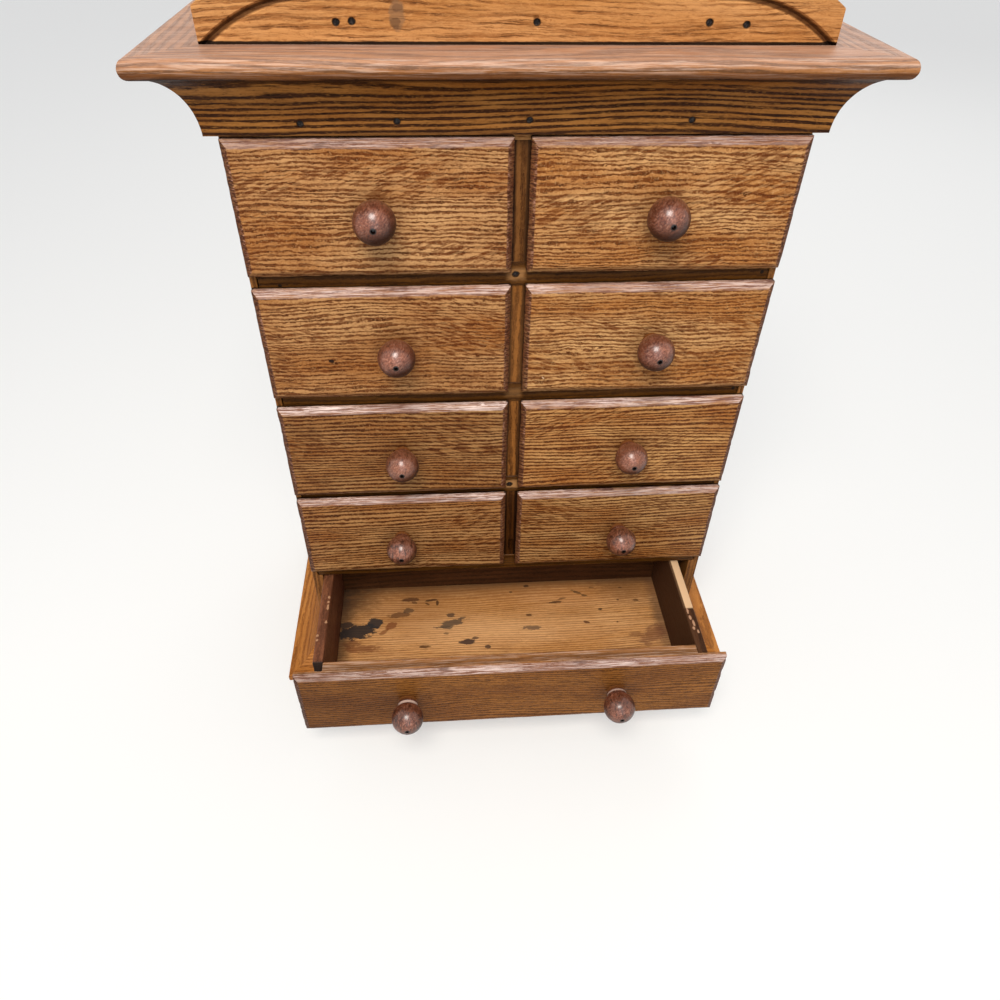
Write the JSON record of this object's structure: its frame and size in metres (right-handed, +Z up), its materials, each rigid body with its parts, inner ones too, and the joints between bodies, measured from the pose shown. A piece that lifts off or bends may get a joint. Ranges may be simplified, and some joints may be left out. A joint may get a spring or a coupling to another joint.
{
  "type": "tabletop drawer chest",
  "caption": "Small upright oak spice chest with pairs of small bevelled drawers over one full-width drawer, ball knobs, cove crown and base mouldings and a crest board.",
  "frame": {"origin": "on the floor, at the middle of the bounding box with the bottom drawer drawn out as in the rest pose", "axes": "+X to the right as seen from the front, +Y from the drawer fronts to the back, +Z up"},
  "size_m": [0.324, 0.2374, 0.4366],
  "materials": {
    "front_oak": "oiled oak with dark wavy grain, golden to reddish brown",
    "case_oak": "old oiled oak, olive gold",
    "crest_oak": "golden orange oak with short dark pores",
    "moulding_oak": "orange brown oak, darker in the hollow",
    "knob_wood": "reddish brown turned wood, soft sheen",
    "drawer_wood": "plain dark drawer wood",
    "drawer_floor_wood": "golden brown, stained drawer bottom",
    "panel_wood": "plain brown board",
    "nail_iron": "dark rusted iron"
  },
  "bodies": {
    "case": {"case_top": "panel_wood", "case_bottom": "panel_wood", "case_back": "panel_wood", "divider": "case_oak", "crest_board": "crest_oak", "crown_front": "moulding_oak", "crown_left": "moulding_oak", "crown_right": "moulding_oak", "base_front": "moulding_oak", "base_left": "moulding_oak", "base_right": "moulding_oak", "nails": "nail_iron", "case_side_left": "case_oak", "case_side_right": "case_oak", "shelf_1": "case_oak", "shelf_2": "case_oak", "shelf_3": "case_oak", "shelf_4": "case_oak"},
    "row1_left_drawer": {"row1_left_front": "front_oak", "row1_left_walls": "drawer_wood", "row1_left_bottom": "drawer_wood", "row1_left_knob": "knob_wood"},
    "row1_right_drawer": {"row1_right_front": "front_oak", "row1_right_walls": "drawer_wood", "row1_right_bottom": "drawer_wood", "row1_right_knob": "knob_wood"},
    "row2_left_drawer": {"row2_left_front": "front_oak", "row2_left_walls": "drawer_wood", "row2_left_bottom": "drawer_wood", "row2_left_knob": "knob_wood"},
    "row2_right_drawer": {"row2_right_front": "front_oak", "row2_right_walls": "drawer_wood", "row2_right_bottom": "drawer_wood", "row2_right_knob": "knob_wood"},
    "row3_left_drawer": {"row3_left_front": "front_oak", "row3_left_walls": "drawer_wood", "row3_left_bottom": "drawer_wood", "row3_left_knob": "knob_wood"},
    "row3_right_drawer": {"row3_right_front": "front_oak", "row3_right_walls": "drawer_wood", "row3_right_bottom": "drawer_wood", "row3_right_knob": "knob_wood"},
    "row4_left_drawer": {"row4_left_front": "front_oak", "row4_left_walls": "drawer_wood", "row4_left_bottom": "drawer_wood", "row4_left_knob": "knob_wood"},
    "row4_right_drawer": {"row4_right_front": "front_oak", "row4_right_walls": "drawer_wood", "row4_right_bottom": "drawer_wood", "row4_right_knob": "knob_wood"},
    "wide_drawer": {"wide_front": "front_oak", "wide_side_left": "drawer_wood", "wide_side_right": "drawer_wood", "wide_back": "drawer_wood", "wide_bottom": "drawer_floor_wood", "wide_knob_left": "knob_wood", "wide_knob_right": "knob_wood"}
  },
  "joints": [
    {"name": "row1_left_slide", "type": "slide", "parent": "case", "child": "row1_left_drawer", "axis": [0, -1, 0], "range_m": [0, 0.095]},
    {"name": "row1_right_slide", "type": "slide", "parent": "case", "child": "row1_right_drawer", "axis": [0, -1, 0], "range_m": [0, 0.095]},
    {"name": "row2_left_slide", "type": "slide", "parent": "case", "child": "row2_left_drawer", "axis": [0, -1, 0], "range_m": [0, 0.095]},
    {"name": "row2_right_slide", "type": "slide", "parent": "case", "child": "row2_right_drawer", "axis": [0, -1, 0], "range_m": [0, 0.095]},
    {"name": "row3_left_slide", "type": "slide", "parent": "case", "child": "row3_left_drawer", "axis": [0, -1, 0], "range_m": [0, 0.095]},
    {"name": "row3_right_slide", "type": "slide", "parent": "case", "child": "row3_right_drawer", "axis": [0, -1, 0], "range_m": [0, 0.095]},
    {"name": "row4_left_slide", "type": "slide", "parent": "case", "child": "row4_left_drawer", "axis": [0, -1, 0], "range_m": [0, 0.095]},
    {"name": "row4_right_slide", "type": "slide", "parent": "case", "child": "row4_right_drawer", "axis": [0, -1, 0], "range_m": [0, 0.095]},
    {"name": "wide_slide", "type": "slide", "parent": "case", "child": "wide_drawer", "axis": [0, -1, 0], "range_m": [-0.081, 0.014]}
  ]
}
